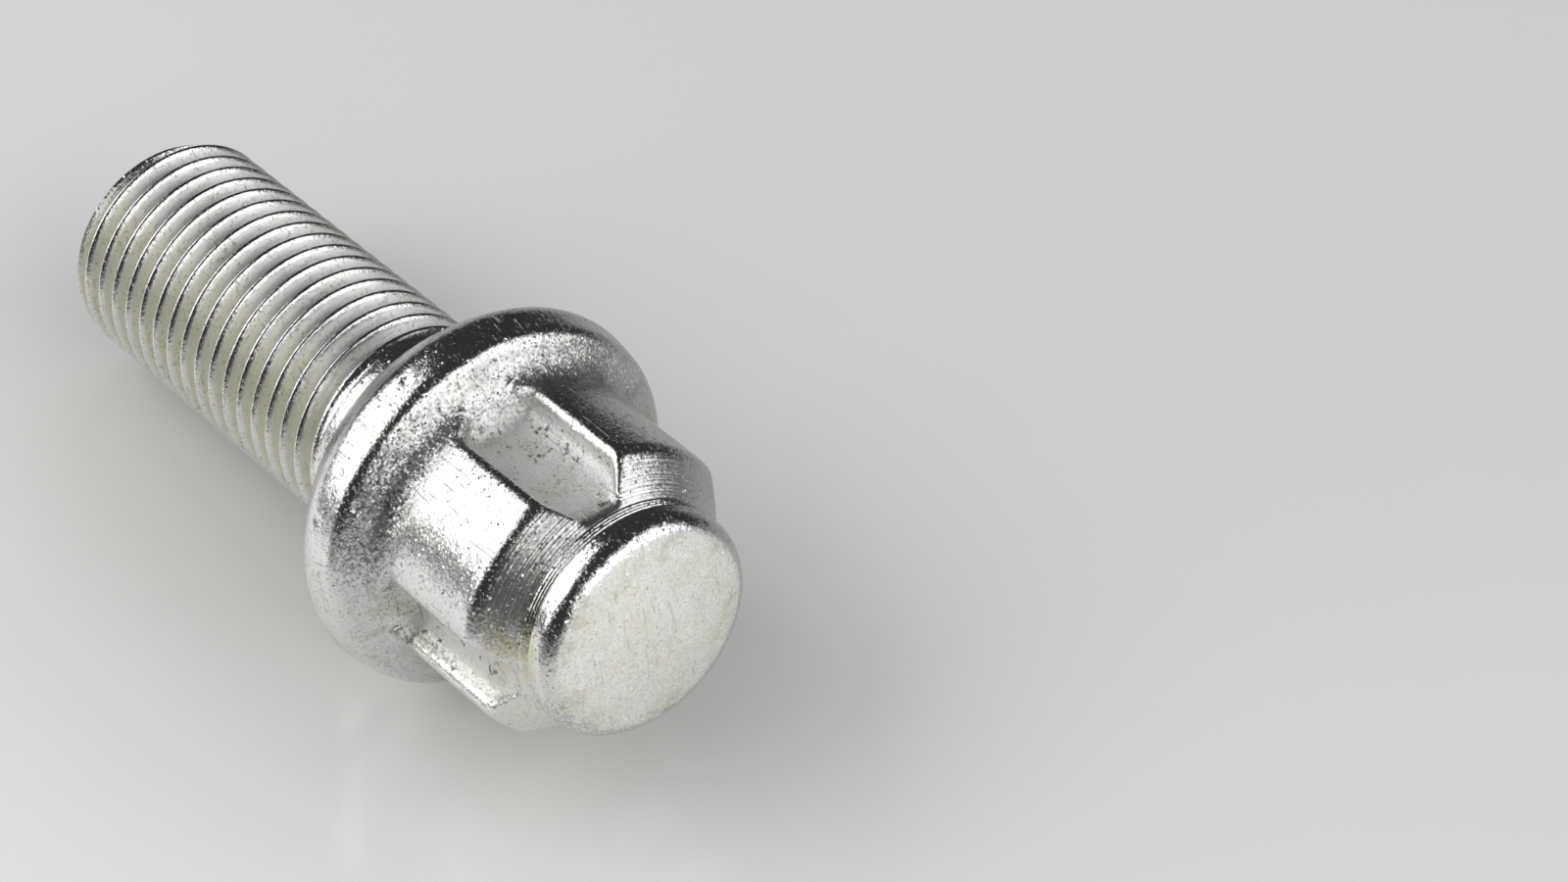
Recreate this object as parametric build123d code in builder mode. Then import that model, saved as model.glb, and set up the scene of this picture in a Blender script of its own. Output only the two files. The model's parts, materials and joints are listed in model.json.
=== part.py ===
from build123d import *
import os
from math import asin, atan, cos, hypot, radians, sin, sqrt, tan

# A locking wheel bolt: one piece of steel, cold-forged, turned and zinc-plated.
# It lies on its side, as it comes to rest: the flange rim and the end of the shank touch the ground.
# Sizes are in millimetres and degrees. Stations run along the bolt, from the root of the seat to the nose.

# Shank
thread_diameter = 14.0
shank_length = 28.0
shank_end_chamfer = 1.0
shank_neck_diameter = 13.5
shank_neck_length = 1.3

# Ball seat and flange
seat_ball_radius = 14.0
seat_root_fillet = 0.8
flange_diameter = 24.0
flange_rim_width = 1.8
flange_rim_round = 1.6
flange_rim_most_rounded = 0.95
flange_face_angle = 57.0

# Fluted head
head_diameter = 18.7
head_length = 10.1
head_chamfer_angle = 47.0
head_edge_round = 1.6
head_root_fillet = 1.0
turning_allowance = 0.05

# Keyed grooves: their angles about the bolt, from the top, and their common section
groove_angles = (1.5, 95.0, 155.0, 215.0, 275.0)
groove_floor_radius = 7.2
groove_floor_width = 2.0
groove_wall_angle = 37.0
groove_floor_round = 1.2
groove_edge_round = 0.6

# Neck and nose
neck_fillet = 0.4
nose_diameter = 14.3
nose_side = 2.4
nose_dome_height = 0.9
nose_edge_round = 1.1

# Radii
shank_radius = thread_diameter / 2
shank_neck_radius = shank_neck_diameter / 2
flange_radius = flange_diameter / 2
head_radius = head_diameter / 2
blank_radius = head_radius + turning_allowance
nose_radius = nose_diameter / 2
dome_radius = (nose_radius**2 + nose_dome_height**2) / (2 * nose_dome_height)

# Stations along the bolt
shank_corner = -shank_length + shank_end_chamfer
shank_shoulder = -shank_neck_length - (shank_radius - shank_neck_radius)
ball_centre = sqrt(seat_ball_radius**2 - shank_radius**2)
seat_start = ball_centre - sqrt(seat_ball_radius**2 - shank_neck_radius**2)
rim_back = ball_centre - sqrt(seat_ball_radius**2 - flange_radius**2)
rim_front = rim_back + flange_rim_width
core_radius = groove_floor_radius / 2
face_end = rim_front + (flange_radius - core_radius) / tan(radians(flange_face_angle))
head_front = rim_front + head_length
neck = head_front + (blank_radius - nose_radius) / tan(radians(head_chamfer_angle))
nose_edge = neck + nose_side
nose_tip = nose_edge + nose_dome_height

# The rim's rounding is limited by the width of the rim, and the head's root by the grooves' edges.
rim_back_turn = asin((ball_centre - rim_back) / seat_ball_radius)
rim_turns = tan(rim_back_turn / 2) + tan(radians(flange_face_angle) / 2)
rim_round = min(flange_rim_round, flange_rim_most_rounded * flange_rim_width / rim_turns)
root_fillet = min(head_root_fillet, 2 * groove_edge_round)

# The bolt leans back until the rounded rim and the corner of the shank's end both touch the ground.
rim_arc_run = rim_back + rim_round * tan(rim_back_turn / 2) - shank_corner
rim_arc_rise = flange_radius - rim_round - shank_radius
lie_angle = atan(rim_arc_rise / rim_arc_run) + asin(rim_round / hypot(rim_arc_run, rim_arc_rise))

# The origin is on the ground, below the middle of the bolt's length.
rest_height = shank_radius * cos(lie_angle) - shank_corner * sin(lie_angle)
tip_reach = (nose_tip - dome_radius) * cos(lie_angle) + dome_radius
end_reach = shank_length * cos(lie_angle) + (shank_radius - shank_end_chamfer) * sin(lie_angle)
seat_root = ((end_reach - tip_reach) / 2, 0, rest_height)
bolt_direction = (cos(lie_angle), 0, sin(lie_angle))

# The outlines are drawn on the lower half of the axial plane, and the grooves on a plane across the bolt.
bolt_axis = Axis(seat_root, bolt_direction)
axial_plane = Plane(origin=seat_root, x_dir=bolt_direction, z_dir=(0, 1, 0))
cross_plane = Plane(origin=seat_root, x_dir=-axial_plane.y_dir, z_dir=bolt_direction)

# Fluted bar: a round bar with the keyed grooves along it, their edges and floor corners rounded.
cutter_depth = 2 * (head_radius - groove_floor_radius)
floor_half = groove_floor_width / 2
mouth_half = floor_half + cutter_depth * tan(radians(groove_wall_angle))
groove_section = (
    (groove_floor_radius, -floor_half),
    (groove_floor_radius + cutter_depth, -mouth_half),
    (groove_floor_radius + cutter_depth, mouth_half),
    (groove_floor_radius, floor_half),
)
with BuildPart() as fluted_bar:
    with BuildSketch(cross_plane.offset(rim_front)):
        Circle(head_radius)
        with Locations(*(Location((0, 0, 0), (0, 0, angle)) for angle in groove_angles)):
            Polygon(*groove_section, align=None, mode=Mode.SUBTRACT)
        fillet(vertices().group_by(SortBy.DISTANCE)[0], groove_floor_round)
        fillet(vertices().group_by(SortBy.DISTANCE)[-1], groove_edge_round)
    extrude(amount=nose_tip + nose_side - rim_front)

# Head: the bar turned down to a rounded front edge, a chamfer, the neck and the domed nose.
with BuildPart() as head:
    with BuildSketch(axial_plane):
        with BuildLine():
            Polyline(
                (nose_tip, 0),
                (rim_back, 0),
                (rim_back, blank_radius),
                (head_front, blank_radius),
                (neck, nose_radius),
                (nose_edge, nose_radius),
            )
            RadiusArc((nose_edge, nose_radius), (nose_tip, 0), dome_radius)
        make_face()
        fillet(vertices().sort_by_distance((head_front, blank_radius))[0], head_edge_round)
        fillet(vertices().sort_by_distance((neck, nose_radius))[0], neck_fillet)
        fillet(vertices().sort_by_distance((nose_edge, nose_radius))[0], nose_edge_round)
    revolve(axis=bolt_axis)
    add(fluted_bar.part, mode=Mode.INTERSECT)

# Whole bolt: the shank, the ball seat and the flange turned in one outline, with the head on its face.
with BuildPart() as locking_wheel_bolt:
    with BuildSketch(axial_plane):
        with BuildLine():
            Polyline(
                (seat_start, shank_neck_radius),
                (-shank_neck_length, shank_neck_radius),
                (shank_shoulder, shank_radius),
                (shank_corner, shank_radius),
                (-shank_length, shank_radius - shank_end_chamfer),
                (-shank_length, 0),
                (face_end, 0),
                (face_end, core_radius),
                (rim_front, flange_radius),
                (rim_back, flange_radius),
            )
            RadiusArc((rim_back, flange_radius), (seat_start, shank_neck_radius), -seat_ball_radius)
        make_face()
        fillet(vertices().sort_by_distance((seat_start, shank_neck_radius))[0], seat_root_fillet)
        fillet(vertices().sort_by_distance((rim_back, flange_radius))[0], rim_round)
        fillet(vertices().sort_by_distance((rim_front, flange_radius))[0], rim_round)
    revolve(axis=bolt_axis)
    add(head.part)
    fillet(edges(Select.NEW), root_fillet)

locking_wheel_bolt.part.label = "locking_wheel_bolt"
os.makedirs("parts", exist_ok=True)
export_step(locking_wheel_bolt.part, "parts/locking_wheel_bolt.step")
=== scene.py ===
# %% [markdown]
# # A locking wheel bolt
# The solid model comes first and stays as it is: everything made here is measured against it. Its shank is
# a plain cylinder, because a fine thread matters to the eye and not to the simulation. This lesson makes
# the same bolt again, with a real thread and soft forged edges, gives it a worn zinc plate and sets it on a
# pale table between two soft lamps.

# %% Load the solid model
import json
from math import asin, atan2, ceil, cos, hypot, pi, radians, sin, sqrt, tan

import bmesh
import bpy
from mathutils import Matrix, Vector


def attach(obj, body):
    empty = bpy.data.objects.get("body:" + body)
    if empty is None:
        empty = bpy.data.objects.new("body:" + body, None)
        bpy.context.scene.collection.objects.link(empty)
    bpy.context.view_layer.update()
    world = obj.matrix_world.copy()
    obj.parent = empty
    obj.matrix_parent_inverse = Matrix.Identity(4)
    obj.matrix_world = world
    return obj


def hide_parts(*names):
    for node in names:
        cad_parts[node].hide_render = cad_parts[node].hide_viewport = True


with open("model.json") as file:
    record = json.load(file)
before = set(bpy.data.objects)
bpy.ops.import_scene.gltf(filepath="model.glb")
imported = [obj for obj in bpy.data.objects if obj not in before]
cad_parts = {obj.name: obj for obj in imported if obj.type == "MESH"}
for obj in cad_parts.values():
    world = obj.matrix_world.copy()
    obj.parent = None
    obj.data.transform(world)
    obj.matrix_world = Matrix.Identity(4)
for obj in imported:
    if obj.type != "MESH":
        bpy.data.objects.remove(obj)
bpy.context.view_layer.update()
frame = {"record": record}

MM = 0.001

# %% [markdown]
# The bolt lies on its side, so its axis is a little tilted. Everything is easier to make upright, with the
# axis on Z and the root of the seat at zero, and to lay down at the end. The turn could be typed in, but it
# would then be wrong after any change to the solid. The record of the solid says where the shank points and
# where the centre of the ball seat is, so the turn is worked out from those two.

# %% Find the bolt's own axis
SHANK_RADIUS = 7.0
SEAT_BALL_RADIUS = 14.0
BALL_CENTRE = sqrt(SEAT_BALL_RADIUS**2 - SHANK_RADIUS**2)

mounts = {mount["name"]: mount for mount in frame["record"]["mounts"]}
nose_direction = -Vector(mounts["threaded_shank"]["axis"]).normalized()
seat_root = Vector(mounts["ball_seat"]["pos_m"]) - BALL_CENTRE * MM * nose_direction
top_direction = nose_direction.cross(Vector((0, 1, 0)))
side_direction = nose_direction.cross(top_direction)
lying_down = Matrix((top_direction, side_direction, nose_direction)).transposed().to_4x4()
lying_down.translation = seat_root
print("seat root, in mm:", [round(value / MM, 2) for value in seat_root])

# %% [markdown]
# The camera comes early, because every later choice is made by looking through it. It looks down at the
# bolt from the side of the nose. A short lens would need to stand close and would swell the nose, so this
# one is long and stands off. The camera is placed from one fact: the middle of the flange has to fall on a
# known pixel.

# %% Camera
IMAGE_WIDTH = 1600
IMAGE_HEIGHT = 900
SENSOR_WIDTH = 36
CAMERA_FOCUS = 5142
CAMERA_DISTANCE = 290.0
CAMERA_ELEVATION = radians(48.5)
CAMERA_HEADING = radians(50.88)
CLIP_START = 0.01
FLANGE_STATION = 5.8
FLANGE_PIXEL = (495.5, 508.5)

bpy.ops.object.camera_add(rotation=(pi / 2 - CAMERA_ELEVATION, 0, CAMERA_HEADING))
camera = bpy.context.object
camera.name = "camera"
camera.data.sensor_width = SENSOR_WIDTH
camera.data.lens = CAMERA_FOCUS / IMAGE_WIDTH * SENSOR_WIDTH
camera.data.clip_start = CLIP_START
to_right = FLANGE_PIXEL[0] - IMAGE_WIDTH / 2
upwards = IMAGE_HEIGHT / 2 - FLANGE_PIXEL[1]
seen_from_camera = Vector((to_right, upwards, -CAMERA_FOCUS)) * CAMERA_DISTANCE / CAMERA_FOCUS * MM
camera_turn = camera.rotation_euler.to_matrix()
camera.location = lying_down @ Vector((0, 0, FLANGE_STATION * MM)) - camera_turn @ seen_from_camera
bpy.context.scene.camera = camera
print("camera at", [round(value, 4) for value in camera.location], "lens", round(camera.data.lens, 1))

# %% [markdown]
# The thread is rolled: rollers press a groove into the shank and push the metal up beside it. A stack of
# rings would look the same at a glance, but a real thread climbs by one pitch a turn. So the outline of one
# turn is drawn as a chain of extruded vertices. It climbs from the root to the crest, and its other half is
# the same in a mirror.

# %% Outline of one turn of the thread
THREAD_PITCH = 1.5
THREAD_START = -30.0
ROOT_TO_CREST = (
    (0.00, 6.10), (0.09, 6.115), (0.17, 6.17), (0.33, 6.44), (0.50, 6.73), (0.62, 6.92), (0.685, 6.985),
)

crest_to_root = [(THREAD_PITCH - rise, radius) for rise, radius in reversed(ROOT_TO_CREST)]
turn_outline = [*ROOT_TO_CREST, (THREAD_PITCH / 2, SHANK_RADIUS), *crest_to_root]
bpy.ops.object.select_all(action="DESELECT")
bpy.ops.mesh.primitive_plane_add(size=MM)
shank = bpy.context.object
shank.name = "threaded_shank"
bpy.ops.object.mode_set(mode="EDIT")
bpy.ops.mesh.merge(type="CENTER")
bpy.ops.transform.translate(value=Vector((turn_outline[0][1], 0, THREAD_START)) * MM)
for before, after in zip(turn_outline, turn_outline[1:]):
    step = Vector((after[1] - before[1], 0, after[0] - before[0])) * MM
    bpy.ops.mesh.extrude_vertices_move(TRANSFORM_OT_translate={"value": step})
bpy.ops.object.mode_set(mode="OBJECT")
print("points in one turn", len(shank.data.vertices))

# %% [markdown]
# The Screw modifier turns the chain about the axis and lifts it by one pitch a turn, twenty times over.
# Each turn ends where the next begins, so the doubled points are merged afterwards and the thread is one
# clean skin.

# %% Wind the thread
THREAD_TURNS = 20
THREAD_STEPS = 120
MERGE_DISTANCE = 0.001 * MM

screw = shank.modifiers.new("thread", "SCREW")
screw.axis = "Z"
screw.angle = 2 * pi
screw.screw_offset = THREAD_PITCH * MM
screw.iterations = THREAD_TURNS
screw.steps = THREAD_STEPS
screw.render_steps = THREAD_STEPS
bpy.ops.object.modifier_apply(modifier=screw.name)
bpy.ops.object.mode_set(mode="EDIT")
bpy.ops.mesh.select_all(action="SELECT")
bpy.ops.mesh.remove_doubles(threshold=MERGE_DISTANCE)
bpy.ops.object.mode_set(mode="OBJECT")
print("thread faces", len(shank.data.polygons))

# %% [markdown]
# A real thread doesn't stop at full height. At the free end a chamfer cuts its turns down so that it finds
# the hole, and towards the seat the rolled groove dies away into a plain neck. No operator fades a thread,
# so its points are moved in code: in under the chamfer, and towards the neck. Both ends are then cut
# square.

# %% Fade the thread at both ends
NECK_RADIUS = 6.75
NECK_START = -1.25
NECK_CUT = -1.0
FADE_LENGTH = 1.6
SHANK_END = -28.0
SHANK_CHAMFER = 1.0
CUT_TOLERANCE = 1e-8


def smooth(low, high, value):
    """Goes smoothly from 0 at low to 1 at high."""
    share = min(max((value - low) / (high - low), 0), 1)
    return share * share * (3 - 2 * share)


for vertex in shank.data.vertices:
    station = vertex.co.z / MM
    radius = hypot(vertex.co.x, vertex.co.y) / MM
    plain = smooth(NECK_START - FADE_LENGTH, NECK_START, station)
    wanted = radius + (NECK_RADIUS - radius) * plain
    wanted = min(wanted, SHANK_RADIUS - SHANK_CHAMFER + max(station - SHANK_END, 0))
    vertex.co.x *= wanted / radius
    vertex.co.y *= wanted / radius

bpy.ops.object.mode_set(mode="EDIT")
for cut, above in ((SHANK_END, False), (NECK_CUT, True)):
    bpy.ops.mesh.select_all(action="SELECT")
    bpy.ops.mesh.bisect(
        plane_co=(0, 0, cut * MM),
        plane_no=(0, 0, 1),
        clear_inner=not above,
        clear_outer=above,
        threshold=CUT_TOLERANCE,
    )
bpy.ops.object.mode_set(mode="OBJECT")
print("shank", len(shank.data.vertices), "vertices, length", round(shank.dimensions.z / MM, 2), "mm")

# %% [markdown]
# The rest of the bolt is a turned body with grooves forged into its head. First comes the turned outline,
# from the neck over the ball seat, the flange and the head to the nose. A lathe and a forging die leave no
# sharp corner, and on bright metal a rounding shows as a line of light. So each corner is written with its
# own rounding.

# %% Helpers for an outline
ARC_STEPS = 8
FINE_ARC_STEPS = 3
FINE_ROUND = 0.1


def arc(centre, radius, start, end, count):
    """Points on an arc, its ends among them."""
    angles = [start + (end - start) * step / count for step in range(count + 1)]
    return [(centre + radius * cos(angle), radius * sin(angle)) for angle in angles]


def rounded(corners):
    """Turns (station, radius, rounding) corners into points, with an arc at each rounded corner."""
    points = []
    for index, (station, radius, rounding) in enumerate(corners):
        here = Vector((station, radius))
        if not rounding:
            points.append(here)
            continue
        back = (Vector(corners[index - 1][:2]) - here).normalized()
        onward = (Vector(corners[index + 1][:2]) - here).normalized()
        half = back.angle(onward) / 2
        reach = rounding / tan(half)
        centre = here + (back + onward).normalized() * rounding / sin(half)
        first = here + back * reach - centre
        last = here + onward * reach - centre
        swing = first.angle_signed(last)
        count = ARC_STEPS if rounding > FINE_ROUND else FINE_ARC_STEPS
        for step in range(count + 1):
            points.append(centre + Matrix.Rotation(-swing * step / count, 2) @ first)
    return points


def divided(points, longest):
    """Adds points on long runs."""
    result = [points[0]]
    for before, after in zip(points, points[1:]):
        pieces = max(1, ceil((after - before).length / longest))
        result += [before.lerp(after, (piece + 1) / pieces) for piece in range(pieces)]
    return result


print("an arc of", ARC_STEPS, "steps at a corner,", FINE_ARC_STEPS, "at a fine one")

# %% Corners of the turned outline
FLANGE_RADIUS = 12.0
RIM_BACK = BALL_CENTRE - sqrt(SEAT_BALL_RADIUS**2 - FLANGE_RADIUS**2)
RIM_BACK_ROUND = 1.9
CREASE = 7.05
CREASE_RADIUS = 11.67
CREASE_ROUND = 1.0
FACE_SLOPE = tan(radians(56.5))
HEAD_RADIUS = 9.35
HEAD_ROOT = CREASE + (CREASE_RADIUS - HEAD_RADIUS) / FACE_SLOPE
HEAD_ROOT_ROUND = 2.0
HEAD_REACH = 11.9
HEAD_FRONT = RIM_BACK + HEAD_REACH
HEAD_FRONT_ROUND = 1.2
CHAMFER_SLOPE = tan(radians(47))
NOSE_RADIUS = 7.15
NECK = HEAD_FRONT + (HEAD_RADIUS - NOSE_RADIUS) / CHAMFER_SLOPE
NECK_STEP = 0.02
NECK_ROUND = 0.12
NOSE_SIDE = 2.33
NOSE_EDGE = NECK + NOSE_SIDE
NOSE_EDGE_ROUND = 1.3
DOME_HEIGHT = 0.9
NOSE_TIP = NOSE_EDGE + DOME_HEIGHT
DOME_RADIUS = (NOSE_RADIUS**2 + DOME_HEIGHT**2) / (2 * DOME_HEIGHT)
SEAT_ROOT_ROUND = 0.8
SEAT_STEPS = 12
SEAT_TRIM = 2
JOINT_GAP = 0.15

seat_from = pi - asin(NECK_RADIUS / SEAT_BALL_RADIUS)
seat_to = pi - asin(FLANGE_RADIUS / SEAT_BALL_RADIUS)
seat_arc = arc(BALL_CENTRE, SEAT_BALL_RADIUS, seat_from, seat_to, SEAT_STEPS)
corners = [(NECK_CUT + JOINT_GAP, NECK_RADIUS, 0), (seat_arc[0][0], NECK_RADIUS, SEAT_ROOT_ROUND)]
corners += [(station, radius, 0) for station, radius in seat_arc[SEAT_TRIM:-SEAT_TRIM]]
corners += [
    (RIM_BACK, FLANGE_RADIUS, RIM_BACK_ROUND),
    (CREASE, CREASE_RADIUS, CREASE_ROUND),
    (HEAD_ROOT, HEAD_RADIUS, HEAD_ROOT_ROUND),
    (HEAD_FRONT, HEAD_RADIUS, HEAD_FRONT_ROUND),
    (NECK, NOSE_RADIUS + NECK_STEP, NECK_ROUND),
]
print("corners from the neck to the head", len(corners))

# %% [markdown]
# The side of the nose keeps the marks of the turning tool next to the chamfer. They are rings less than a
# tenth of a millimetre deep. A bump in the material would do from afar, but they catch the light as lines,
# so they are cut into the outline itself. The side of a ring that faces the nose is steep and mirrors the
# same lamp as the chamfer. The dome closes the outline.

# %% Turned rings and the dome
RING_COUNT = 3
RING_PITCH = 0.22
RING_DEPTH = 0.08
RING_STEEP_SHARE = 0.3
RING_ROUND = 0.015
RING_START = 0.1
DOME_STEPS = 22
DOME_JOIN = 5
DOME_CENTRE_ANGLE = 0.02
LONGEST_STEP = 0.3

for index in range(RING_COUNT):
    crest = NECK + RING_START + index * RING_PITCH
    corners.append((crest, NOSE_RADIUS, RING_ROUND))
    corners.append((crest + RING_STEEP_SHARE * RING_PITCH, NOSE_RADIUS - RING_DEPTH, RING_ROUND))
corners.append((NECK + RING_START + RING_COUNT * RING_PITCH, NOSE_RADIUS, RING_ROUND))
dome_start = asin(NOSE_RADIUS / DOME_RADIUS)
dome_arc = arc(NOSE_TIP - DOME_RADIUS, DOME_RADIUS, dome_start, DOME_CENTRE_ANGLE, DOME_STEPS)
corners.append((NOSE_EDGE, NOSE_RADIUS, NOSE_EDGE_ROUND))
corners += [(station, radius, 0) for station, radius in dome_arc[DOME_JOIN:]]
outline = divided(rounded(corners), LONGEST_STEP)
print("points on the outline", len(outline), "nose tip at", round(outline[-1].x, 2), "mm")

# %% [markdown]
# Five grooves run along the head, and their uneven spacing is what makes the bolt a lock. A boolean cut
# would leave knife edges. Here the section of a groove is drawn: a soft shoulder, a wall and a nearly flat
# floor that meets the wall in a smooth curve. Towards the flange the floor climbs steeply into the sloping
# face, and at the front the chamfer cuts it off.

# %% Floor of a groove
GROOVE_FLOOR = 7.2
RUN_IN_RADIUS = 9.9
RUN_IN_SLOPE = tan(radians(68))
RUN_IN_SOFTNESS = 0.8
RUN_IN_START = CREASE + (CREASE_RADIUS - RUN_IN_RADIUS) / FACE_SLOPE
FLOOR_START = RUN_IN_START + (RUN_IN_RADIUS - GROOVE_FLOOR) / RUN_IN_SLOPE


def floor_radius(station, softness):
    """How far the floor of a groove is from the axis, as it runs down from the flange's face."""
    climb = (FLOOR_START - station) * RUN_IN_SLOPE
    return GROOVE_FLOOR + (climb + sqrt(climb**2 + softness**2)) / 2


print("a groove is", round(HEAD_RADIUS - floor_radius(HEAD_FRONT, RUN_IN_SOFTNESS), 2), "mm deep")

# %% Section of a groove
GROOVE_FLOOR_HALF = 1.0
GROOVE_WALL = tan(radians(36))
SHOULDER_REACH = 0.8
SHOULDER_SHARE = 0.45
SHOULDER_STEPS = 6
HOLLOW_STEPS = 12
BEND_RISE = 0.22
BEND_WIDTH = 0.84
FLAT_WIDTH = 0.72


def polar(radius, angle):
    """A point of a section, from its distance and its angle about the axis."""
    return Vector((radius * cos(angle), radius * sin(angle)))


def bezier(control, steps):
    """Points on a curve from the first control point to the last, drawn towards those between."""
    points = []
    for step in range(steps + 1):
        row = control
        while len(row) > 1:
            row = [before.lerp(after, step / steps) for before, after in zip(row, row[1:])]
        points.append(row[0])
    return points


def half_groove(radius, station):
    """One side of a groove that faces X, as (angle, radius) from the lobe to the middle of the floor."""
    floor = floor_radius(station, RUN_IN_SOFTNESS)
    depth = max(radius - floor, 0)
    mouth_half = GROOVE_FLOOR_HALF + max(radius - floor_radius(station, 0), depth) * GROOVE_WALL
    mouth_angle = asin(mouth_half / radius)
    mouth = polar(radius, mouth_angle)
    bend = Vector((floor + depth * BEND_RISE, mouth_half * BEND_WIDTH))
    flat = Vector((floor, mouth_half * FLAT_WIDTH))
    middle = Vector((floor, 0))
    reach = min(SHOULDER_REACH, depth * SHOULDER_SHARE)
    lobe = polar(radius, mouth_angle + reach / radius)
    wall = mouth + (bend - mouth).normalized() * reach
    points = bezier([lobe, mouth, wall], SHOULDER_STEPS)
    points += bezier([wall, bend, flat, middle], HOLLOW_STEPS)[1:]
    return [(atan2(point.y, point.x), min(point.length, radius)) for point in points]


full_side = half_groove(HEAD_RADIUS, HEAD_FRONT)
mouth_width = 2 * HEAD_RADIUS * sin(full_side[SHOULDER_STEPS // 2][0])
print("a groove is", round(mouth_width, 2), "mm wide at its mouth")

# %% [markdown]
# Every ring of the loft needs the same number of points, also where there is no groove. Where a groove gets
# shallow, its points would crowd together, so they are spread out again over the round body. The lobes
# between the grooves take evenly spaced points.

# %% Section of the bolt at any station
GROOVE_ANGLES = (1.5, 95.0, 155.0, 215.0, 275.0)
SHALLOWEST = 0.02
SPREAD_DEPTH = 0.8
LOBE_SPACING = radians(2.6)


def radius_at(angle, side, radius):
    """The section's radius at an angle from the middle of a groove."""
    for (high, outer), (low, inner) in zip(side, side[1:]):
        if low <= angle <= high and high > low:
            return inner + (outer - inner) * (angle - low) / (high - low)
    return radius


def groove_side(radius, station):
    """A side of a groove, with its points spread out where the groove is shallow or has ended."""
    depth = radius - floor_radius(station, RUN_IN_SOFTNESS)
    if depth < SHALLOWEST:
        return [(angle, radius) for angle, _ in full_side]
    side = half_groove(radius, station)
    spread = 1 - smooth(SHALLOWEST, SPREAD_DEPTH, depth)
    angles = [here * (1 - spread) + full * spread for (here, _), (full, _) in zip(side, full_side)]
    return [(angle, radius_at(angle, side, radius)) for angle in angles]


def ring(radius, station):
    """The bolt's section at a station, as points around the axis."""
    side = groove_side(radius, station)
    groove = [(-angle, reach) for angle, reach in side] + list(reversed(side[:-1]))
    half_mouth = side[0][0]
    points = []
    for here, onward in zip(GROOVE_ANGLES, GROOVE_ANGLES[1:] + (GROOVE_ANGLES[0] + 360,)):
        points += [polar(reach, radians(here) + angle) for angle, reach in groove]
        first = radians(here) + half_mouth
        last = radians(onward) - half_mouth
        count = int((radians(onward - here) - 2 * full_side[0][0]) / LOBE_SPACING)
        shares = [(step + 1) / (count + 1) for step in range(count)]
        points += [polar(radius, first + (last - first) * share) for share in shares]
    return points


print("points in a ring", len(ring(HEAD_RADIUS, HEAD_FRONT)))

# %% [markdown]
# Now the loft. A circle is extruded from station to station, and each new ring takes the bolt's section
# there. The extruded ring keeps the order of the ring it came from, so its points can be placed one by one.
# The last ring is merged into the middle of the dome.

# %% Loft the head
first_ring = ring(outline[0].y, outline[0].x)
bpy.ops.object.select_all(action="DESELECT")
bpy.ops.mesh.primitive_circle_add(vertices=len(first_ring), radius=NECK_RADIUS * MM)
bolt = bpy.context.object
bolt.name = "locking_wheel_bolt_threaded"
bpy.ops.object.mode_set(mode="EDIT")
bpy.ops.mesh.select_all(action="SELECT")


def place_ring(points, station):
    """Moves the selected ring to its section."""
    shape = bmesh.from_edit_mesh(bpy.context.object.data)
    chosen = [vertex for vertex in shape.verts if vertex.select]
    for vertex, point in zip(chosen, points):
        vertex.co = Vector((point.x, point.y, station)) * MM
    bmesh.update_edit_mesh(bpy.context.object.data)


place_ring(first_ring, outline[0].x)
for station, radius in outline[1:]:
    bpy.ops.mesh.extrude_edges_move()
    place_ring(ring(radius, station), station)
bpy.ops.mesh.extrude_edges_move()
bpy.ops.mesh.merge(type="CENTER")
bpy.ops.object.mode_set(mode="OBJECT")
print("head faces", len(bolt.data.polygons))

# %% [markdown]
# The bolt is one piece of steel, so the shank and the head become one closed skin. Joining the objects
# leaves two open edges at the neck, and a bridge closes the gap between them. The rings have different
# numbers of points, which a bridge can take and a merge can't.

# %% Join the shank to the head
def select_open_edges(lowest, highest):
    """Selects the open edges between two stations."""
    bpy.ops.mesh.select_mode(type="VERT")
    bpy.ops.mesh.select_all(action="DESELECT")
    shape = bmesh.from_edit_mesh(bpy.context.object.data)
    for vertex in shape.verts:
        vertex.select = vertex.is_boundary and lowest * MM < vertex.co.z < highest * MM
    shape.select_flush_mode()
    bpy.ops.mesh.select_mode(type="EDGE")


bpy.ops.object.select_all(action="DESELECT")
shank.select_set(True)
bolt.select_set(True)
bpy.context.view_layer.objects.active = bolt
bpy.ops.object.join()
bpy.ops.object.mode_set(mode="EDIT")
select_open_edges(SHANK_END / 2, NOSE_TIP)
bpy.ops.mesh.bridge_edge_loops()
bpy.ops.object.mode_set(mode="OBJECT")
print("faces with the shank", len(bolt.data.polygons))

# %% [markdown]
# Rolling squeezes the skin of the shank forward past its core, so the free end of a rolled bolt is a little
# dished. The end is closed with one face, inset twice, the second time inwards, and poked, so that no face
# has a hundred corners. The bolt is then laid down into its place.

# %% Dish the free end and lay the bolt down
DISH_RIM = 1.2
DISH_SLOPE = 1.0
DISH_DEPTH = 0.12
SMOOTH_ANGLE = radians(40)

bpy.ops.object.mode_set(mode="EDIT")
select_open_edges(SHANK_END * 2, SHANK_END / 2)
bpy.ops.mesh.edge_face_add()
bpy.ops.mesh.select_mode(type="FACE")
bpy.ops.mesh.inset(thickness=DISH_RIM * MM)
bpy.ops.mesh.inset(thickness=DISH_SLOPE * MM)
bpy.ops.transform.translate(value=(0, 0, DISH_DEPTH * MM))
bpy.ops.mesh.poke()
bpy.ops.mesh.select_all(action="SELECT")
bpy.ops.mesh.normals_make_consistent(inside=False)
bpy.ops.object.mode_set(mode="OBJECT")
bolt.matrix_world = lying_down
bpy.ops.object.transform_apply(location=True, rotation=True, scale=True)
bpy.ops.object.shade_smooth_by_angle(angle=SMOOTH_ANGLE)
print("bolt", len(bolt.data.vertices), "vertices", len(bolt.data.polygons), "faces")

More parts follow.
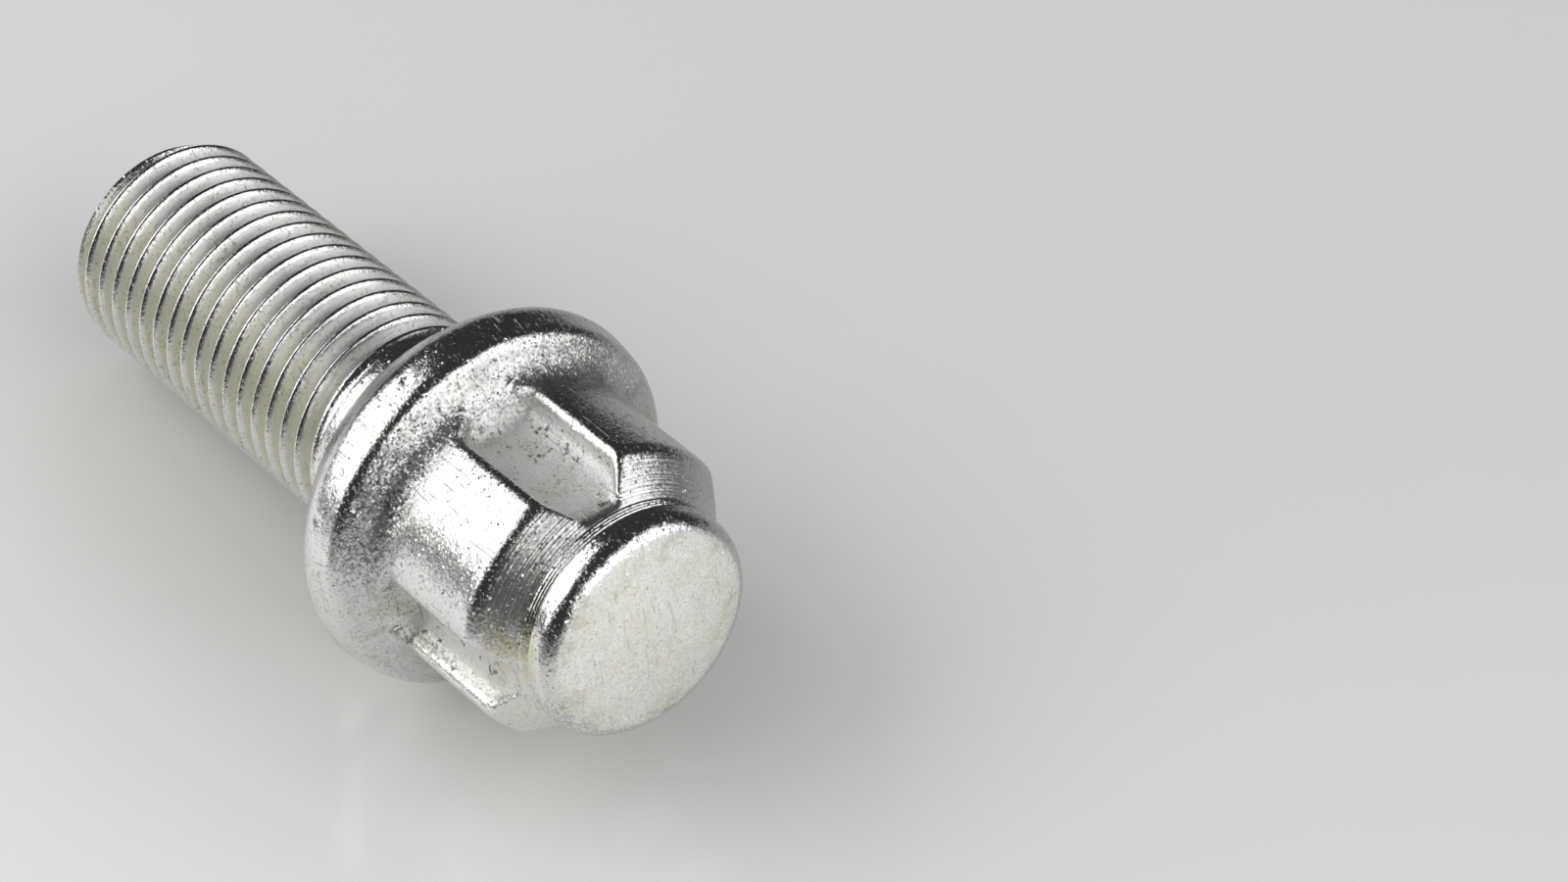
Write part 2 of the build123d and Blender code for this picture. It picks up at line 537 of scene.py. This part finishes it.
# %% [markdown]
# The finish is described with numbers that change over the surface, such as how grainy or how yellow a
# place is. In the node editor each sum and product is a Math node with two wires, and a long formula gets
# hard to read. A small class wraps a node's output instead, so that the formula is written as Python and
# adds its own nodes.

# %% A field: a number, colour or vector that changes over a surface
class Field:
    """The output of a node. Sums, differences and products of fields add Math nodes."""

    def __init__(self, finish, socket):
        self.finish = finish
        self.socket = socket

    def __add__(self, other):
        return self.finish.maths("ADD", self, other)

    def __sub__(self, other):
        return self.finish.maths("SUBTRACT", self, other)

    def __rsub__(self, other):
        return self.finish.maths("SUBTRACT", other, self)

    def __mul__(self, other):
        return self.finish.maths("MULTIPLY", self, other)

    __radd__ = __add__
    __rmul__ = __mul__


print("fields can be added, subtracted and multiplied")

# %% A finish: a material and its nodes
# A Mix node has sockets of the same names for numbers, vectors and colours. These belong to colours.
MIX_SHARE = 0
MIX_FIRST = 6
MIX_SECOND = 7
MIX_RESULT = 2


class Finish:
    """A material and the nodes that make it."""

    def __init__(self, name):
        self.material = bpy.data.materials.new(name)
        self.material.use_nodes = True
        self.tree = self.material.node_tree
        self.shader = self.tree.nodes["Principled BSDF"]

    def put(self, socket, value):
        """Links a field to a socket, or sets the socket to a constant."""
        if isinstance(value, Field):
            self.tree.links.new(value.socket, socket)
        else:
            socket.default_value = value

    def node(self, kind, settings, sockets, output=0):
        """Adds a node: first its settings, then the values or links of its sockets."""
        made = self.tree.nodes.new("ShaderNode" + kind)
        for name, value in settings.items():
            setattr(made, name, value)
        for name, value in sockets.items():
            self.put(made.inputs[name], value)
        return Field(self, made.outputs[output])

    def maths(self, operation, *terms):
        """Adds a Math node."""
        return self.node("Math", {"operation": operation}, dict(enumerate(terms)))

    def vector(self, operation, *terms):
        """Adds a Vector Math node."""
        return self.node("VectorMath", {"operation": operation}, dict(enumerate(terms)))

    def distance(self, place, point):
        """How far a place is from a point."""
        return self.node("VectorMath", {"operation": "DISTANCE"}, {0: place, 1: point}, "Value")

    def step(self, value, low, high):
        """Goes smoothly from 0 where the value is low to 1 where it is high."""
        ends = {"Value": value, "From Min": low, "From Max": high}
        return self.node("MapRange", {"interpolation_type": "SMOOTHSTEP"}, ends)

    def band(self, value, low, full, full_end, high):
        """Rises from 0 at low to 1 at full, and falls again from full_end to high."""
        return self.step(value, low, full) * (1 - self.step(value, full_end, high))

    def noise(self, place, scale, detail, roughness):
        """A cloudy texture, with about as many waves to a unit as its scale says."""
        sockets = {"Vector": place, "Scale": scale, "Detail": detail, "Roughness": roughness}
        return self.node("TexNoise", {}, sockets)

    def blend(self, share, first, second):
        """Mixes two colours."""
        sockets = {MIX_SHARE: share, MIX_FIRST: first, MIX_SECOND: second}
        return self.node("Mix", {"data_type": "RGBA"}, sockets, MIX_RESULT)

    def total(self, start, *layers):
        """Adds (field, amount) layers to a start."""
        for field, amount in layers:
            start = field * amount + start
        return start

    def most(self, *layers):
        """Adds (field, amount) layers up, to 1 at the most."""
        return self.maths("MINIMUM", self.total(0, *layers), 1.0)


zinc = Finish("zinc_plated_steel_worn")
print("first nodes of the zinc plate:", [node.name for node in zinc.tree.nodes])

# %% [markdown]
# A finish has to know where on the bolt it is. Object coordinates stay with the bolt when it moves. A
# Mapping node takes them back to the upright bolt in millimetres: Z is then the station along the axis, and
# the distance from the axis follows from X and Y.

# %% Where on the bolt a point is
spot = zinc.node("TexCoord", {}, {}, "Object")
upright = {"Vector": spot, "Location": seat_root, "Rotation": lying_down.to_euler(), "Scale": (MM, MM, MM)}
place = zinc.node("Mapping", {"vector_type": "TEXTURE"}, upright)
to_top = zinc.node("SeparateXYZ", {}, {"Vector": place}, "X")
to_side = zinc.node("SeparateXYZ", {}, {"Vector": place}, "Y")
along_axis = zinc.node("SeparateXYZ", {}, {"Vector": place}, "Z")
from_axis = zinc.maths("SQRT", to_top * to_top + to_side * to_side)
print("nodes so far", len(zinc.tree.nodes))

# %% [markdown]
# The plate is the same all over, but the steel under it isn't. The flange's face and the grooves were
# forged and are grainy, the chamfer and the side of the nose were turned, the dome is matt, and the thread
# holds old oil and dust. Painting masks by hand would work for one mesh. These masks follow from the
# stations of the outline: each fades in between its first two stations and out between its last two.

# %% Where each kind of surface begins and ends
HEAD_STATIONS = (HEAD_ROOT - 0.2, HEAD_ROOT + 1.4, NECK - 0.05, NECK + 0.15)
FACE_STATIONS = (CREASE, CREASE + 0.6, HEAD_ROOT + 0.7, HEAD_ROOT + 1.6)
CHAMFER_STATIONS = (HEAD_FRONT + 0.1, HEAD_FRONT + 0.7, NECK - 0.15, NECK + 0.15)
NOSE_SIDE_STATIONS = (NECK - 0.15, NECK + 0.15, NOSE_EDGE - 1.2, NOSE_EDGE - 0.7)
NOSE_EDGE_STATIONS = (NOSE_EDGE - 0.9, NOSE_EDGE - 0.4, NOSE_EDGE + 0.1, NOSE_EDGE + 0.35)
THREAD_STATIONS = (SHANK_END + 0.7, SHANK_END + 1.1, NECK_START - 1.75, NECK_START - 0.55)
GROOVE_END_START = (HEAD_FRONT, HEAD_FRONT + 1.0)
DOME_START = (NOSE_EDGE, NOSE_EDGE + 0.3)
FREE_END_START = (SHANK_END + 0.15, SHANK_END + 0.25)
GROOVE_DEPTHS = (0.2, 0.9)
GROOVE_FLOOR_DEPTHS = (1.0, 1.8)
GROOVE_END_DEPTHS = (0.05, 0.25, 0.4, 0.9)
CREST_RADII = (6.6, 6.92)
print("the head fades in and out at", [round(station, 2) for station in HEAD_STATIONS])

# %% Which places were forged, turned or rolled
chamfer_drop = zinc.maths("MAXIMUM", along_axis - HEAD_FRONT, 0.0) * CHAMFER_SLOPE
groove_depth = HEAD_RADIUS - chamfer_drop - from_axis
in_head = zinc.band(along_axis, *HEAD_STATIONS)
in_groove = zinc.step(groove_depth, *GROOVE_DEPTHS) * in_head
on_groove_floor = zinc.step(groove_depth, *GROOVE_FLOOR_DEPTHS) * in_head
near_chamfer = zinc.step(along_axis, *GROOVE_END_START) * in_head
on_groove_end = zinc.band(groove_depth, *GROOVE_END_DEPTHS) * near_chamfer
on_face = zinc.band(along_axis, *FACE_STATIONS)
on_dome = zinc.step(along_axis, *DOME_START)
on_nose_edge = zinc.band(along_axis, *NOSE_EDGE_STATIONS)
on_chamfer = zinc.band(along_axis, *CHAMFER_STATIONS) * (1 - in_groove)
on_nose_side = zinc.band(along_axis, *NOSE_SIDE_STATIONS)
on_free_end = 1 - zinc.step(along_axis, *FREE_END_START)
turned = on_chamfer + on_nose_side + on_free_end
on_thread = zinc.band(along_axis, *THREAD_STATIONS)
in_thread = on_thread * (1 - zinc.step(from_axis, *CREST_RADII))
print("nodes with the masks", len(zinc.tree.nodes))

# %% [markdown]
# Wear has many sizes. Broad waves are left by forging, patches by uneven plating, mottling by handling, and
# specks, hairlines and pits by use. Each is a noise with its own waves to a millimetre, detail and
# roughness, and some are cut off between two values, so that only spots stay. The hairlines are a noise
# that is drawn out twenty times in one direction and cut off high, so that only thin streaks stay.

# %% Grain, specks and pits
GRAIN = (5.5, 3.0, 0.65)
WAVES = (0.9, 2.0, 0.5)
PATCHES = (0.35, 2.0, 0.5)
MOTTLE = (0.5, 6.0, 0.62)
SPECKS = (3.1, 4.0, 0.7)
SPECK_CUT = (0.64, 0.72)
PITTED_PLACES = (0.7, 1.0, 0.5)
PITTED_CUT = (0.50, 0.58)
PITS = (2.3, 4.0, 0.65)
PIT_CUT = (0.57, 0.62)

grain = zinc.noise(place, *GRAIN)
waves = zinc.noise(place, *WAVES)
patches = zinc.noise(place, *PATCHES)
mottle = zinc.noise(place, *MOTTLE)
specks = zinc.step(zinc.noise(place, *SPECKS), *SPECK_CUT)
pitted = zinc.step(zinc.noise(place, *PITTED_PLACES), *PITTED_CUT) * in_groove
pits = zinc.step(zinc.noise(place, *PITS), *PIT_CUT) * pitted
print("nodes with the grain", len(zinc.tree.nodes))

# %% Tool marks, hairlines and dents
LATHE_LINES = 5.0
LATHE_DETAIL = 3.0
HAIR_SCALE = 5.0
HAIR_STRETCH = 0.25
HAIRS = (1.0, 2.0, 0.5)
HAIR_CUT = (0.66, 0.70)
HAIR_TURNS_AND_SCALES = (
    ((0.35, 0.2, 0.0), (HAIR_SCALE, HAIR_SCALE, HAIR_STRETCH)),
    ((0.3, 0.2, 0.9), (HAIR_STRETCH, HAIR_SCALE, HAIR_SCALE)),
)
DENTS = ((11.41, 3.72, 5.89), (6.31, 9.06, 7.34), (5.16, 10.83, 5.51))
DENT_REACH = (0.05, 0.55)

lines_along = {"W": along_axis - from_axis, "Scale": LATHE_LINES, "Detail": LATHE_DETAIL}
lathe = zinc.node("TexNoise", {"noise_dimensions": "1D"}, lines_along)
hairs = 0
for turn, scale in HAIR_TURNS_AND_SCALES:
    drawn_out = zinc.node("Mapping", {}, {"Vector": place, "Rotation": turn, "Scale": scale})
    hairs = hairs + zinc.step(zinc.noise(drawn_out, *HAIRS), *HAIR_CUT)
dents = sum(1 - zinc.step(zinc.distance(place, dent), *DENT_REACH) for dent in DENTS)
print("nodes with the marks", len(zinc.tree.nodes))

# %% [markdown]
# Zinc grows as crystals, and the steel under it is grainy. Up close the plate is a mosaic of tiny facets,
# and each mirrors its own bit of the room: that is the salt and pepper along the edge of every reflection.
# A bump map alone looks like leather here. So each cell of a Voronoi texture gives the normal its own small
# tilt, on top of the bump. One crystal in ten leans further than the rest and sparkles.

# %% Relief of the plate
GRAIN_HEIGHT = 0.02
WAVE_HEIGHT = 0.03
LATHE_HEIGHT = 0.02
PIT_DEPTH = 0.04
HAIR_DEPTH = 0.03
DENT_DEPTH = 0.05

forged = zinc.total(1, (turned, -0.8), (in_thread, -0.7))
raised = (grain * GRAIN_HEIGHT + waves * WAVE_HEIGHT) * forged + lathe * turned * LATHE_HEIGHT
scratches = hairs * zinc.total(1, (turned, -1), (on_dome, -0.5))
sunk = zinc.total(0, (pits, PIT_DEPTH), (scratches, HAIR_DEPTH), (dents, DENT_DEPTH))
bump = zinc.node("Bump", {}, {"Strength": 1.0, "Distance": MM, "Height": raised - sunk})
print("nodes with the relief", len(zinc.tree.nodes))

# %% Tilt of the crystals
CRYSTALS_PER_MM = 8.0
CRYSTAL_TILT = 0.09
SPARKLE_TILT = 0.4
SPARKLE_CUT = (0.85, 0.95)
MIDDLE_COLOUR = (0.5, 0.5, 0.5)

crystals = zinc.node("TexVoronoi", {}, {"Vector": place, "Scale": CRYSTALS_PER_MM}, "Color")
chance = zinc.node("TexWhiteNoise", {}, {"Vector": crystals})
sparkle = zinc.step(chance, *SPARKLE_CUT) * (1 - on_thread)
grainy = on_face * (1 - in_groove)
tilt_size = zinc.total(
    CRYSTAL_TILT, (sparkle, SPARKLE_TILT), (grainy, 0.25), (in_groove, 0.2), (on_dome, 0.1), (turned, 0.03),
)
tilt = zinc.vector("MULTIPLY", zinc.vector("SUBTRACT", crystals, MIDDLE_COLOUR), tilt_size)
zinc.put(zinc.shader.inputs["Normal"], zinc.vector("NORMALIZE", zinc.vector("ADD", bump, tilt)))
print("nodes with the crystals", len(zinc.tree.nodes))

# %% [markdown]
# The colour starts as bright metal and as a chalkier white where the plate is matt. Over it come a cream
# tint from the passivation bath, strongest on the dome and on the low side of the thread, a brown stain
# beside the nose, dark dirt in pits, specks and scratches, and painted shade at the tips of the grooves.
# Mixing colours by a share keeps each layer easy to change.

# %% Colour of the plate
BRIGHT_ZINC = (0.80, 0.805, 0.81, 1)
MATT_ZINC = (0.98, 0.98, 0.975, 1)
CREAM = (0.90, 0.895, 0.74, 1)
STAIN = (0.60, 0.55, 0.30, 1)
STAIN_CENTRE = (1.6, 7.2, 18.4)
STAIN_REACH = (0.8, 3.2)
STAIN_CUT = (0.40, 0.60)
STAIN_STRENGTH = 0.7
YELLOW_CUT = (0.40, 0.75)
LOW_SIDE = (0.5, 6.0)
UNDERSIDE = (-2.0, 5.0)
UNDERSIDE_CUT = (0.36, 0.60)
DOME_CREAM = 0.2
DOME_CREAM_CUT = (0.40, 0.66)
DOME_CREAM_MOTTLE = 0.5

matt = zinc.most((in_groove, 1), (on_dome, 1), (in_thread, 1))
yellow = zinc.step(patches, *YELLOW_CUT)
low_side = zinc.step(to_side, *LOW_SIDE)
underside = (1 - zinc.step(to_top, *UNDERSIDE)) * zinc.step(mottle, *UNDERSIDE_CUT) * (1 - on_dome)
cream = on_dome * zinc.total(DOME_CREAM, (zinc.step(mottle, *DOME_CREAM_CUT), DOME_CREAM_MOTTLE))
tint = zinc.most(
    (yellow, 0.2), (in_thread * low_side, 0.85), (underside, 0.35), (cream, 1), (in_groove * yellow, 0.5),
)
plate = zinc.blend(tint, zinc.blend(matt, BRIGHT_ZINC, MATT_ZINC), CREAM)
stain = (1 - zinc.step(zinc.distance(place, STAIN_CENTRE), *STAIN_REACH)) * zinc.step(mottle, *STAIN_CUT)
stained = zinc.blend(stain * STAIN_STRENGTH, plate, STAIN)
print("nodes with the tints", len(zinc.tree.nodes))

# %% Where dirt, wear and painted shade lie
PEPPER_CUT = (1.18, 1.26)
DOTS = (6.0, 2.0, 0.6)
DOT_CUT = (0.58, 0.68)
DOME_EDGE_RADII = (4.0, 6.6)
DOME_EDGE_CUT = (0.50, 0.66)
LOW_EDGE = (-3.0, 1.0)
GRAIN_CUT = (0.42, 0.56)
LEFT_SIDE = (3.0, 7.0)
LEFT_TOP = (0.5, 4.0)
FACE_CUT = (0.46, 0.62)
FACE_PITS = (4.5, 2.0, 0.6)
FACE_PIT_CUT = (0.50, 0.60)
WORN_CUT = (0.5, 0.7)

crystal_shade = zinc.node("SeparateXYZ", {}, {"Vector": crystals}, "X")
pepper = zinc.step(zinc.total(crystal_shade, (patches, 0.5), (on_dome, -0.1)), *PEPPER_CUT)
dots = on_dome * zinc.step(zinc.noise(place, *DOTS), *DOT_CUT)
dome_edge = on_dome * zinc.step(from_axis, *DOME_EDGE_RADII) * zinc.step(mottle, *DOME_EDGE_CUT)
# The nose's edge is darker towards the bottom, in specks that follow the grain.
low_edge = on_nose_edge * (1 - zinc.step(to_top, *LOW_EDGE)) * zinc.step(grain, *GRAIN_CUT)
left_side = zinc.step(to_side, *LEFT_SIDE) * zinc.step(to_top, *LEFT_TOP)
worn_face = on_face * zinc.step(mottle, *FACE_CUT)
face_pits = on_face * left_side * zinc.step(zinc.noise(place, *FACE_PITS), *FACE_PIT_CUT)
worn_grain = zinc.step(grain, *WORN_CUT) * zinc.total(1, (matt, -0.6))
# Painted shade and dark pits, speckled by the grain, at the tip where each groove runs out at the chamfer.
groove_end_pits_and_shade = on_groove_end * zinc.step(grain, *GRAIN_CUT)
print("nodes with the worn places", len(zinc.tree.nodes))

# %% Lay the dirt and painted shade on the plate
DIRT_AND_SHADE = (0.16, 0.155, 0.15, 1)

dirt_and_shade = zinc.most(
    (pepper, 0.35), (pits, 0.9), (specks, 0.25), (dots, 0.3), (scratches, 0.2), (dome_edge, 0.3),
    (low_edge, 0.4), (worn_face, 0.25), (face_pits, 0.5), (on_face, 0.1), (worn_grain, 0.2),
    (groove_end_pits_and_shade, 0.4),
)
zinc.put(zinc.shader.inputs["Base Color"], zinc.blend(dirt_and_shade, stained, DIRT_AND_SHADE))
print("nodes with the dirt", len(zinc.tree.nodes))

# %% [markdown]
# Gloss tells a smooth lobe from a grainy groove. The lobes and the rim mirror the lamps, the chamfer and
# the face blur them, and the floor of a groove hardly mirrors at all. Matt zinc is a crust of fine crystals
# that scatters light like a powder, so those places are also a little less metallic.

# %% Gloss of the plate
GLOSS = 0.08

roughness = zinc.total(
    GLOSS, (patches, 0.06), (grain, 0.06), (specks, 0.12), (on_dome * mottle, 0.1), (on_face, 0.2),
    (on_dome, 0.2), (in_groove, 0.3), (in_thread, 0.28), (on_chamfer, 0.16),
)
metallic = zinc.total(
    1, (in_groove, -0.35), (on_groove_floor, -0.45), (on_dome, -0.15), (in_thread, -0.25),
    (in_thread * low_side, -0.3),
)
zinc.put(zinc.shader.inputs["Roughness"], roughness)
zinc.put(zinc.shader.inputs["Metallic"], metallic)
print("nodes in all", len(zinc.tree.nodes))

# %% [markdown]
# The new bolt takes the place of the plain solid in the picture and moves with the same body. The solid
# itself stays for the simulation.

# %% Give the bolt its finish and its place in the frame
bolt.data.materials.clear()
bolt.data.materials.append(zinc.material)
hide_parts("locking_wheel_bolt")
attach(bolt, "root")
print(bolt.name, "wears", bolt.data.materials[0].name)

# %% [markdown]
# The table is pale, smooth acrylic. Bright metal is mostly a picture of its table, so the table's
# brightness matters more than the lamps'. It is made pale by a glow that only the camera, glass and shiny
# metal see. The glow isn't scattered onto the bolt, and it keeps the bolt's shadow: ambient occlusion takes
# it away under the bolt. In the metal the glow ends a few centimetres beside the bolt, as a lit table top
# does, and that gives its edges their dark side.

# %% Table
TABLE_SIZE = 4
ACRYLIC = (0.82, 0.82, 0.82, 1)
ACRYLIC_ROUGHNESS = 0.16

bpy.ops.object.select_all(action="DESELECT")
bpy.ops.mesh.primitive_plane_add(size=TABLE_SIZE)
table = bpy.context.object
table.name = "table"
acrylic = Finish("pale_glossy_acrylic")
acrylic.shader.inputs["Base Color"].default_value = ACRYLIC
acrylic.shader.inputs["Roughness"].default_value = ACRYLIC_ROUGHNESS
table.data.materials.append(acrylic.material)
print("table", TABLE_SIZE, "m wide")

# %% Who sees the glow, and from where on the table
SHADE_REACH = 0.05
SHADE_SAMPLES = 8
LIT_DIRECTION = radians(20)

by_camera = acrylic.node("LightPath", {}, {}, "Is Camera Ray")
by_glass = acrylic.node("LightPath", {}, {}, "Is Transmission Ray")
by_metal = acrylic.node("LightPath", {}, {}, "Is Glossy Ray")
shade = acrylic.node("AmbientOcclusion", {"samples": SHADE_SAMPLES}, {"Distance": SHADE_REACH}, "AO")
on_table = acrylic.node("TexCoord", {}, {}, "Object")
lit_way = acrylic.node("Mapping", {}, {"Vector": on_table, "Rotation": (0, 0, -LIT_DIRECTION)})
beside = acrylic.node("SeparateXYZ", {}, {"Vector": lit_way}, "Y")
print("table nodes", len(acrylic.tree.nodes))

# %% Glow of the table
GLOW = (1, 1, 1, 1)
NO_GLOW = (0, 0, 0, 1)
METAL_GLOW = 0.30
NEAR_GLOW = 0.31
FAR_GLOW = 0.48
FAR_DISTANCES = (0.1, 0.7)
NEAR_SIDE_GLOW = 1.15
FAR_SIDE_LOSS = 0.4
FAR_SIDE = (-0.03, 0.05)
METAL_SIDES = (-0.075, -0.045, -0.003, 0.029)

far = acrylic.step(acrylic.distance(on_table, (0, 0, 0)), *FAR_DISTANCES)
# Seen directly, the glow is weaker on the side of the bolt away from the left softbox: painted shade on the
# table.
side_glow = acrylic.total(NEAR_SIDE_GLOW, (acrylic.step(beside, *FAR_SIDE), -FAR_SIDE_LOSS))
seen_directly = acrylic.maths("MAXIMUM", by_camera, by_glass)
direct = seen_directly * side_glow * acrylic.total(NEAR_GLOW, (far, FAR_GLOW - NEAR_GLOW))
mirrored = by_metal * acrylic.band(beside, *METAL_SIDES) * METAL_GLOW
glow = acrylic.maths("MAXIMUM", direct, mirrored) * shade * shade
acrylic.shader.inputs["Emission Strength"].default_value = 1
acrylic.put(acrylic.shader.inputs["Emission Color"], acrylic.blend(glow, NO_GLOW, GLOW))
print("table nodes with the glow", len(acrylic.tree.nodes))

# %% [markdown]
# Two softboxes light the bolt, one at the left and one at the right beyond the nose, in a dark room. Each
# shows in the metal as a white shape with clean edges, and the dark room between them draws the black bands
# on the rim and the lobes. A softbox is given by its direction and its width and height as seen from the
# bolt, because that is what a mirror shows. Its power then follows from how bright its surface should be.

# %% Lamps
AIM = lying_down @ Vector((0, 0, FLANGE_STATION * MM))


def softbox(name, azimuth, elevation, distance, wide, tall, radiance):
    """A flat soft lamp that faces the bolt, with its angles in degrees and the radiance of its surface."""
    turn = radians(azimuth)
    lift = radians(elevation)
    way = Vector((cos(turn) * cos(lift), sin(turn) * cos(lift), sin(lift)))
    facing = way.to_track_quat("Z", "Y").to_euler()
    bpy.ops.object.light_add(type="AREA", location=AIM + way * distance, rotation=facing)
    lamp = bpy.context.object
    lamp.name = name
    lamp.data.shape = "RECTANGLE"
    lamp.data.size = 2 * distance * tan(radians(wide / 2))
    lamp.data.size_y = 2 * distance * tan(radians(tall / 2))
    lamp.data.energy = radiance * pi * lamp.data.size * lamp.data.size_y
    sides = [round(side, 2) for side in (lamp.data.size, lamp.data.size_y)]
    print(name, "power", round(lamp.data.energy, 3), "sides", sides)


softbox("left_softbox", azimuth=-134, elevation=35, distance=0.5, wide=64, tall=54, radiance=1.75)
softbox("right_softbox", azimuth=21, elevation=26, distance=0.6, wide=76, tall=44, radiance=1.6)

# %% [markdown]
# The room itself is nearly black. A bright sky would fill the dark bands and make the steel look like
# plaster.

# %% Dark room
ROOM_COLOUR = (1, 1, 1, 1)
ROOM_BRIGHTNESS = 0.035

room = bpy.data.worlds.new("dark_room")
room.use_nodes = True
room.node_tree.nodes["Background"].inputs["Color"].default_value = ROOM_COLOUR
room.node_tree.nodes["Background"].inputs["Strength"].default_value = ROOM_BRIGHTNESS
bpy.context.scene.world = room
bpy.context.scene.view_settings.view_transform = "Standard"
print("room brightness", ROOM_BRIGHTNESS)
